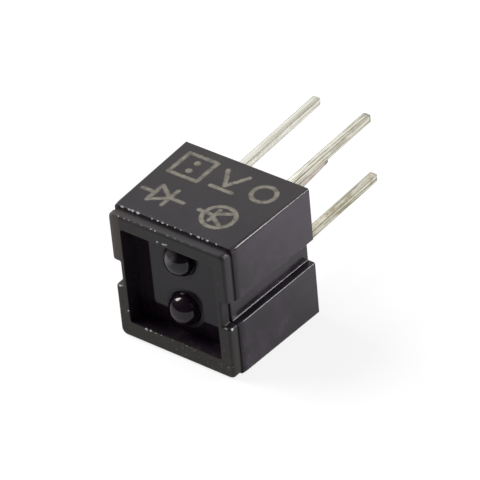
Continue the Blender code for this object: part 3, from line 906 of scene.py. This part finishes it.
def model_housing_block(sizes):
    """Model the outside of the cap: drafted sides, stepped front frame and side grooves."""
    block = add_primitive("sensor_housing", "plane", size=1.0, location=(0.0, BACK_Y, MIDDLE_Z),
                          rotation=FACING_FRONT, scale=(WIDTH, 1.0, HEIGHT))
    corners = housing_corners(sizes, BACK_Y, EDGE_RADIUS_BACK)
    groove_low, groove_high, floor = corners[1][1], corners[3][1], corners[2][0]
    edit(block)
    cuts = [((0.0, 0.0, groove_low), (0.0, 0.0, 1.0)), ((0.0, 0.0, groove_high), (0.0, 0.0, 1.0)),
            ((floor, 0.0, 0.0), (1.0, 0.0, 0.0)), ((-floor, 0.0, 0.0), (1.0, 0.0, 0.0))]
    for place, direction in cuts:
        choose_all(block)
        bpy.ops.mesh.bisect(plane_co=place, plane_no=direction, threshold=TINY)
    choose(block, "faces", lambda f: abs(middle(f).x) > floor and groove_low < middle(f).z < groove_high)
    bpy.ops.mesh.delete(type="FACE")
    choose_all(block)
    bpy.ops.mesh.dissolve_limited(angle_limit=math.radians(2))
    segments = {EDGE_RADIUS_BACK: EDGE_SEGMENTS, LIP_RADIUS: LIP_SEGMENTS, ROOT_RADIUS: ROOT_SEGMENTS}
    for x, z, radius in corners:
        round_corner(block, x, z, radius, segments[radius])
    choose_all(block)

    step_y = FRONT_Y + sizes.frame_depth
    roll_end = step_y + STEP_EDGE_RADIUS + EDGE_SUPPORT
    rolls = [step / SIDE_ROLL_STEPS for step in range(SIDE_ROLL_STEPS + 1)]
    sections = [(roll_end + SIDE_ROLL_WIDTH * (1.0 - roll), 0.0, EDGE_RADIUS_FRONT, False, 0.0,
                 SIDE_ROLL_DEPTH * roll * roll) for roll in rolls]
    sections += [(y, inset, EDGE_RADIUS_FRONT, False, 0.0, SIDE_ROLL_DEPTH)
                 for y, inset in rounded_steps(step_y, STEP_EDGE_RADIUS, STEP_SEGMENTS)]
    sections += [(step_y, STEP_GROOVE_DEPTH, FRAME_CORNER_RADIUS, True, FRAME_TOP_SINK, -SIDE_GROOVE_FILL),
                 (step_y - STEP_GROOVE_WIDTH, 0.0, FRAME_CORNER_RADIUS, True, FRAME_TOP_SLOPE, 0.0),
                 (step_y - FRAME_TOP_SLOPE_WIDTH, 0.0, FRAME_CORNER_RADIUS, True, 0.0, 0.0)]
    sections += [(y, inset, FRAME_CORNER_RADIUS, True, 0.0, 0.0)
                 for y, inset in rounded_steps(FRONT_Y, FRAME_EDGE_RADIUS, EDGE_SEGMENTS)]
    last_y = BACK_Y
    for y, inset, edge, is_frame, sink, narrow in sections:
        following = housing_corners(sizes, y, edge, inset, is_frame, sink, narrow)
        pull_section(block, corners, following, y - last_y)
        corners, last_y = following, y
    face_outwards()
    leave_edit_mode()
    return block


def model_block_tool(name, half_x, half_z, centre_z, front_y, back_y, radius):
    """Model a box along Y with rounded long edges."""
    box = add_primitive(name, "cube", size=1.0, location=(0.0, (front_y + back_y) / 2, centre_z),
                        scale=(2 * half_x, back_y - front_y, 2 * half_z))
    edit(box)
    choose(box, "edges", lambda e: abs(e.verts[0].co.y - e.verts[1].co.y) > (back_y - front_y) / 2)
    bpy.ops.mesh.bevel(offset_type="OFFSET", offset=radius, segments=BLOCK_EDGE_SEGMENTS, profile=0.5,
                       affect="EDGES", clamp_overlap=False)
    leave_edit_mode()
    return box


def model_housing(sizes):
    """Cut the recess, the dome holes and the rear pockets out of the housing block."""
    housing = model_housing_block(sizes)
    plate_y = FRONT_Y + sizes.recess_depth
    half = sizes.recess_side / 2
    recess = model_block_tool("recess_tool", half, half, RECESS_Z, FRONT_Y - CUTTER_OVERRUN, plate_y,
                              RECESS_CORNER_RADIUS)
    edit(recess)
    choose(recess, "verts", lambda v: v.co.y > plate_y - TINY)
    shrink = 1.0 - RECESS_DRAFT * (sizes.recess_depth + CUTTER_OVERRUN) / half
    scale_section(shrink, (0.0, plate_y, RECESS_Z))
    leave_edit_mode()
    apply_boolean(housing, recess, "DIFFERENCE")

    plate_back = plate_y + PLATE_THICKNESS
    pocket_height = sizes.dome_spacing - WEB_THICKNESS
    for side in (-1, 1):
        dome_z = OPTICS_Z + side * sizes.dome_spacing / 2
        hole = add_primitive("hole_tool", "cylinder", vertices=HOLE_SEGMENTS,
                             radius=sizes.dome_base_radius + DOME_CLEARANCE,
                             depth=PLATE_THICKNESS + 2 * CUTTER_OVERRUN,
                             location=(0.0, (plate_y + plate_back) / 2, dome_z),
                             rotation=FACING_FRONT)
        apply_boolean(housing, hole, "DIFFERENCE")
        pocket = model_block_tool("pocket_tool", POCKET_WIDTH / 2, pocket_height / 2, dome_z, plate_back,
                                  BACK_Y + CUTTER_OVERRUN, POCKET_CORNER_RADIUS)
        apply_boolean(housing, pocket, "DIFFERENCE")
    return housing


def model_straight_lead(sizes):
    """Model one straight lead on the left of its dome's axis, from its arm to its cut end."""
    half = sizes.lead_side / 2
    start_y = ARM_Y + LEAD_BEND_RADIUS
    lead = add_primitive("straight_lead", "plane", size=2 * half, location=(0.0, start_y, 0.0),
                         rotation=FACING_FRONT)
    edit(lead)
    for x in (-half, half):
        for z in (-half, half):
            round_corner(lead, x, z, LEAD_EDGE_RADIUS, LEAD_EDGE_SEGMENTS)
    choose_all(lead)
    extrude((0.0, BACK_Y - start_y, 0.0))
    shaft_end = STRAIGHT_LENGTH - TIP_LENGTH
    for _ in range(SHAFT_STATIONS):
        extrude((0.0, shaft_end / SHAFT_STATIONS, 0.0))
    last_scale = 1.0
    for scale in TIP_SCALES:
        extrude((0.0, TIP_LENGTH / len(TIP_SCALES), 0.0))
        scale_section(scale / last_scale, (0.0, BACK_Y + STRAIGHT_LENGTH, 0.0))
        last_scale = scale
    choose(lead, "faces", lambda f: all(abs(v.co.y - start_y) < TINY for v in f.verts))
    for _ in range(BEND_STEPS):
        extrude((0.0, 0.0, 0.0))
        bpy.ops.transform.rotate(value=-math.pi / 2 / BEND_STEPS, orient_axis="Z",
                                 center_override=(LEAD_BEND_RADIUS, start_y, 0.0))
    extrude((ARM_STUB - LEAD_BEND_RADIUS, 0.0, 0.0))
    leave_edit_mode()
    return lead


def mark_rounded_edges(lead):
    """Mark a lead's upper face and its rounded long edges, which the lead material paints in shade; the
    edges are also made rougher.
    """
    upper = lead.data.attributes.new("upper_face", "FLOAT", "FACE")
    for face, mark in zip(lead.data.polygons, upper.data):
        mark.value = float(face.normal.z > 1.0 - EDGE_TURN)
    marks = lead.data.attributes.new("rounded_edge", "FLOAT", "FACE")
    for face, mark in zip(lead.data.polygons, marks.data):
        rounded = abs(face.normal.x) > EDGE_TURN and abs(face.normal.z) > EDGE_TURN
        # Edges facing the key lamp get a double mark and so the most painted shade
        facing_key_lamp = face.normal.x < 0 and face.normal.z > 0
        mark.value = (2.0 if facing_key_lamp else 1.0) if rounded else 0.0


def model_cup(dome_z):
    """Model the round chip cup with the shallow hollow in its front."""
    front_y = ARM_Y - CUP_THICKNESS / 2
    cup = add_primitive("chip_cup", "cylinder", vertices=CUP_SEGMENTS, radius=CUP_RADIUS,
                        depth=CUP_THICKNESS, location=(0.0, ARM_Y, dome_z), rotation=FACING_FRONT)
    edit(cup)
    choose(cup, "faces", lambda f: abs(middle(f).y - front_y) < TINY)
    bpy.ops.mesh.inset(thickness=CUP_RIM)
    extrude((0.0, CUP_HOLLOW_DEPTH, 0.0))
    scale_section(CUP_HOLLOW_TAPER, (0.0, front_y + CUP_HOLLOW_DEPTH, dome_z))
    choose(cup, "edges", lambda e: abs(e.verts[0].co.y - e.verts[1].co.y) < TINY
           and (middle(e) - Vector((0.0, middle(e).y, dome_z))).length > CUP_RADIUS * 0.95)
    bpy.ops.mesh.bevel(offset_type="OFFSET", offset=CUP_EDGE_RADIUS, segments=2, affect="EDGES")
    leave_edit_mode()
    return cup


def shape_lead(straight, name, sizes):
    """Copy the straight lead, give it its own side, length, drift and bow, and put it in its place."""
    side, channel, length, drift, bow = LEADS[name]
    inward = -side
    place_x = LEAD_OFFSET_X + side * LEAD_SPACING_X / 2
    place_z = OPTICS_Z + channel * LEAD_SPACING_Z / 2
    reach = abs(place_x) if side < 0 else place_x - POST_REACH
    lead = copy_piece(straight, "sensor_" + name)
    edit(lead)
    choose(lead, "verts", lambda v: v.co.y < BACK_Y - TINY and v.co.x > ARM_STUB - TINY)
    bpy.ops.transform.translate(value=(reach - ARM_STUB, 0.0, 0.0))
    choose(lead, "verts", lambda v: v.co.y > BACK_Y + TINY)
    bpy.ops.transform.resize(value=(1.0, length / STRAIGHT_LENGTH, 1.0),
                             center_override=(0.0, BACK_Y, 0.0))
    choose_all(lead)
    if inward < 0:
        bpy.ops.transform.resize(value=(-1.0, 1.0, 1.0), center_override=(0.0, 0.0, 0.0))
        bpy.ops.mesh.normals_make_consistent(inside=False)
    stations = sorted({round(v.co.y, 8) for v in bmesh.from_edit_mesh(lead.data).verts
                       if v.co.y > BACK_Y + TINY})
    for station in stations:
        along = station - BACK_Y
        swell = math.sin(math.pi * along / length)
        choose(lead, "verts", lambda v: abs(v.co.y - station) < 2 * TINY)
        bpy.ops.transform.translate(value=(drift[0] * along + bow[0] * swell, 0.0,
                                           drift[1] * along + bow[1] * swell))
    choose_all(lead)
    bpy.ops.transform.translate(value=(place_x, 0.0, place_z))
    leave_edit_mode()
    if side < 0:
        dome_z = OPTICS_Z + channel * sizes.dome_spacing / 2
        apply_boolean(lead, model_cup(dome_z), "UNION")
    return lead


def model_body(name, sizes, dome_z):
    """Model a resin block with its collar and dome."""
    plate_y = FRONT_Y + sizes.recess_depth
    shoulder_y = plate_y + PLATE_THICKNESS + BODY_CLEARANCE
    pocket_height = sizes.dome_spacing - WEB_THICKNESS
    body = model_block_tool(name, POCKET_WIDTH / 2 - BODY_CLEARANCE, pocket_height / 2 - BODY_CLEARANCE,
                            dome_z, shoulder_y, BACK_Y - BODY_BACK_RECESS,
                            POCKET_CORNER_RADIUS - BODY_CLEARANCE)
    base = sizes.dome_base_radius
    height = sizes.dome_height
    radius = (base ** 2 + height ** 2) / (2 * height)
    dome = add_primitive("dome_tool", "uv_sphere", segments=DOME_SEGMENTS, ring_count=DOME_SEGMENTS // 2,
                         radius=radius, location=(0.0, plate_y - height + radius, dome_z),
                         rotation=FACING_FRONT)
    edit(dome)
    choose_all(dome)
    bpy.ops.mesh.bisect(plane_co=(0.0, plate_y, dome_z), plane_no=(0.0, 1.0, 0.0), clear_outer=True,
                        use_fill=True, threshold=TINY)
    choose(dome, "faces", lambda f: all(abs(v.co.y - plate_y) < 10 * TINY for v in f.verts))
    extrude((0.0, PLATE_THICKNESS + DOME_STEM_OVERLAP, 0.0))
    face_outwards()
    leave_edit_mode()
    apply_boolean(body, dome, "UNION")
    return body


def carve_space(body, piece):
    """Carve the space that a cast-in piece fills, with a small clearance round it."""
    tool = copy_piece(piece, "space_tool")
    edit(tool)
    choose_all(tool)
    bpy.ops.mesh.remove_doubles(threshold=TINY)
    choose_all(tool)
    bpy.ops.transform.shrink_fatten(value=PIECE_CLEARANCE)
    leave_edit_mode()
    apply_boolean(body, tool, "DIFFERENCE")


def light_path(tree):
    """Return masks of the rays from the camera and of those from glossy or clear surfaces."""
    path = add_node(tree, "ShaderNodeLightPath")
    camera, glossy, clear = (Field(tree, path.outputs["Is %s Ray" % kind])
                             for kind in ("Camera", "Glossy", "Transmission"))
    return camera, calculate("MAXIMUM", glossy, clear)


def make_floor_material():
    """White paper: the camera sees it white, glossy surfaces see it white with a painted shadow near the
    sensor, and it keeps the sensor's shadow.
    """
    material = bpy.data.materials.new("white_paper_floor")
    material.use_nodes = True
    tree = material.node_tree
    tree.nodes.clear()
    place = take_output(tree, "ShaderNodeTexCoord", output="Object")
    fibres = blend_colours(place.noise(0.4 * MM, 4.0), *PAPER_COLOURS)
    paper = take_output(tree, "ShaderNodeBsdfDiffuse", {"Color": fibres})
    camera, mirrored = light_path(tree)
    # Painted shadow, seen only in reflections of the floor
    towards = place.reach(FLOOR_FALL_DIRECTION)
    painted_contact_shadow = towards.rise(*FLOOR_CONTACT_RISE, 0.0, FLOOR_CONTACT_SHARE)
    painted_contact_shadow = painted_contact_shadow * towards.fade(*FLOOR_CONTACT_FADE)
    level = towards.rise(*FLOOR_FALL_REACH, 1.0, FLOOR_FRONT_LEVEL) * (1.0 - painted_contact_shadow)
    level = level * place.reach(FLOOR_RISE_DIRECTION).rise(*FLOOR_RISE_REACH, FLOOR_NEAR_LEVEL, 1.0)
    level = 1.0 - (1.0 - level) * mirrored
    white = take_output(tree, "ShaderNodeEmission", {"Color": WHITE, "Strength": level})
    share = calculate("MAXIMUM", camera, mirrored) * FLOOR_WHITE_SHARE
    mixed = take_output(tree, "ShaderNodeMixShader", {0: share, 1: paper, 2: white})
    add_node(tree, "ShaderNodeOutputMaterial", {"Surface": mixed})
    return material


def make_world():
    """White surroundings for the camera, a soft room for light, and a dim room on the camera's side."""
    world = bpy.data.worlds.new("studio_room")
    bpy.context.scene.world = world
    world.use_nodes = True
    tree = world.node_tree
    tree.nodes.clear()
    direction = take_output(tree, "ShaderNodeTexCoord", output="Generated")
    backdrop = direction.reach(BACKDROP_DIRECTION).rise(*BACKDROP_EDGE)
    camera, glossy = light_path(tree)
    room = calculate("MAXIMUM", backdrop * BACKDROP_LEVEL, DIM_ROOM)
    strength = calculate("MAXIMUM", glossy * room + (1.0 - glossy) * ROOM_LIGHT, camera)
    light = take_output(tree, "ShaderNodeBackground", {"Color": WHITE, "Strength": strength})
    add_node(tree, "ShaderNodeOutputWorld", {"Surface": light})


def add_softbox(name, direction, distance, size, radiance):
    """Add a round area lamp that faces the sensor from a direction."""
    data = bpy.data.lights.new(name, "AREA")
    data.shape = "DISK"
    data.size = size
    data.energy = radiance * math.pi * math.pi * (size / 2) ** 2
    lamp = bpy.data.objects.new(name, data)
    bpy.context.scene.collection.objects.link(lamp)
    direction = Vector(direction).normalized()
    lamp.location = SUBJECT + direction * distance
    lamp.rotation_euler = (-direction).to_track_quat("-Z", "Y").to_euler()


def add_camera():
    """Place the camera where the photograph was taken from."""
    data = bpy.data.cameras.new("photo_camera")
    data.lens = CAMERA_LENS
    data.sensor_width = CAMERA_FRAME_WIDTH
    data.clip_start = MM
    camera = bpy.data.objects.new("photo_camera", data)
    bpy.context.scene.collection.objects.link(camera)
    right = CAMERA_FORWARD.cross(CAMERA_UP).normalized()
    up = right.cross(CAMERA_FORWARD)
    turn = Matrix((right, up, -CAMERA_FORWARD)).transposed().to_4x4()
    turn.translation = CAMERA_PLACE
    camera.matrix_world = turn
    bpy.context.scene.camera = camera


class SENSOR_OT_housing(bpy.types.Operator):
    """Model the moulded housing"""

    bl_idname = "sensor.housing"
    bl_label = "Housing"

    def execute(self, context):
        housing = model_housing(context.scene.sensor_sizes)
        finish_piece(housing, make_housing_material(context.scene.sensor_colours), "housing")
        return {"FINISHED"}


class SENSOR_OT_leads(bpy.types.Operator):
    """Model one lead, and copy and shape it for all four"""

    bl_idname = "sensor.leads"
    bl_label = "Leads"

    def execute(self, context):
        sizes = context.scene.sensor_sizes
        material = make_lead_material(context.scene.sensor_colours)
        straight = model_straight_lead(sizes)
        for name in LEADS:
            lead = shape_lead(straight, name, sizes)
            mark_rounded_edges(lead)
            finish_piece(lead, material, name)
        bpy.data.objects.remove(straight, do_unlink=True)
        return {"FINISHED"}


class SENSOR_OT_optics(bpy.types.Operator):
    """Model the two domed resin bodies round their leads, chips and wires"""

    bl_idname = "sensor.optics"
    bl_label = "Optical bodies"

    def execute(self, context):
        sizes = context.scene.sensor_sizes
        colours = context.scene.sensor_colours
        finishes = ((-1, "emitter", colours.emitter_resin, EMITTER_GLOW),
                    (1, "detector", colours.detector_resin, DETECTOR_GLOW))
        for channel, label, tint, painted_glow in finishes:
            dome_z = OPTICS_Z + channel * sizes.dome_spacing / 2
            body = model_body("sensor_%s_body" % label, sizes, dome_z)
            for name in LEADS:
                if name.startswith(label):
                    carve_space(body, bpy.data.objects["sensor_" + name])
            for kind in ("chip", "bond_wire"):
                carve_space(body, frame["nodes"]["%s_%s" % (label, kind)])
            finish_piece(body, make_resin_material(label + "_dark_resin", tint, *painted_glow), label + "_body")
        return {"FINISHED"}


class SENSOR_OT_chips(bpy.types.Operator):
    """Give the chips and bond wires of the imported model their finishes"""

    bl_idname = "sensor.chips"
    bl_label = "Chips and wires"

    def execute(self, context):
        finishes = {"emitter_chip": make_chip_material("emitter_die", EMITTER_DIE),
                    "detector_chip": make_chip_material("detector_die", DETECTOR_DIE)}
        finishes["emitter_bond_wire"] = finishes["detector_bond_wire"] = make_wire_material()
        for name, material in finishes.items():
            node = frame["nodes"][name]
            for slot in node.material_slots:
                slot.material = material
        return {"FINISHED"}


class SENSOR_OT_stage(bpy.types.Operator):
    """Lay the white floor, light it and place the camera"""

    bl_idname = "sensor.stage"
    bl_label = "Stage"

    def execute(self, context):
        floor = add_primitive("paper_floor", "plane", size=FLOOR_SIZE, location=(0.0, 0.0, 0.0))
        floor.data.materials.append(make_floor_material())
        leave_edit_mode()
        make_world()
        add_softbox("key_softbox", *KEY_LAMP)
        add_softbox("back_softbox", *BACK_LAMP)
        add_camera()
        context.scene.view_settings.view_transform = "Standard"
        return {"FINISHED"}


class SENSOR_PT_panel(bpy.types.Panel):
    """Lists the sensor's sizes, colours and pieces"""

    bl_idname = "SENSOR_PT_panel"
    bl_label = "Reflective Optical Sensor"
    bl_space_type = "VIEW_3D"
    bl_region_type = "UI"
    bl_category = "Sensor"

    def draw(self, context):
        column = self.layout.column()
        for group in (context.scene.sensor_sizes, context.scene.sensor_colours):
            for name in group.__annotations__:
                column.prop(group, name)
        for operator in OPERATORS:
            column.operator(operator.bl_idname)


OPERATORS = (SENSOR_OT_housing, SENSOR_OT_leads, SENSOR_OT_optics, SENSOR_OT_chips, SENSOR_OT_stage)
CLASSES = (SensorSizes, SensorColours, *OPERATORS, SENSOR_PT_panel)


def register():
    """Register the classes and attach the settings to the scene."""
    for item in CLASSES:
        bpy.utils.register_class(item)
    bpy.types.Scene.sensor_sizes = PointerProperty(type=SensorSizes)
    bpy.types.Scene.sensor_colours = PointerProperty(type=SensorColours)


def unregister():
    """Detach the settings and take the classes out again."""
    del bpy.types.Scene.sensor_colours
    del bpy.types.Scene.sensor_sizes
    for item in reversed(CLASSES):
        bpy.utils.unregister_class(item)


def main():
    """Build the sensor and its stage."""
    register()
    make_grain_group()
    make_streak_group()
    make_nick_group()
    make_ink_groups()
    bpy.ops.sensor.housing()
    bpy.ops.sensor.leads()
    bpy.ops.sensor.optics()
    bpy.ops.sensor.chips()
    bpy.ops.sensor.stage()


if __name__ == "__main__":
    main()
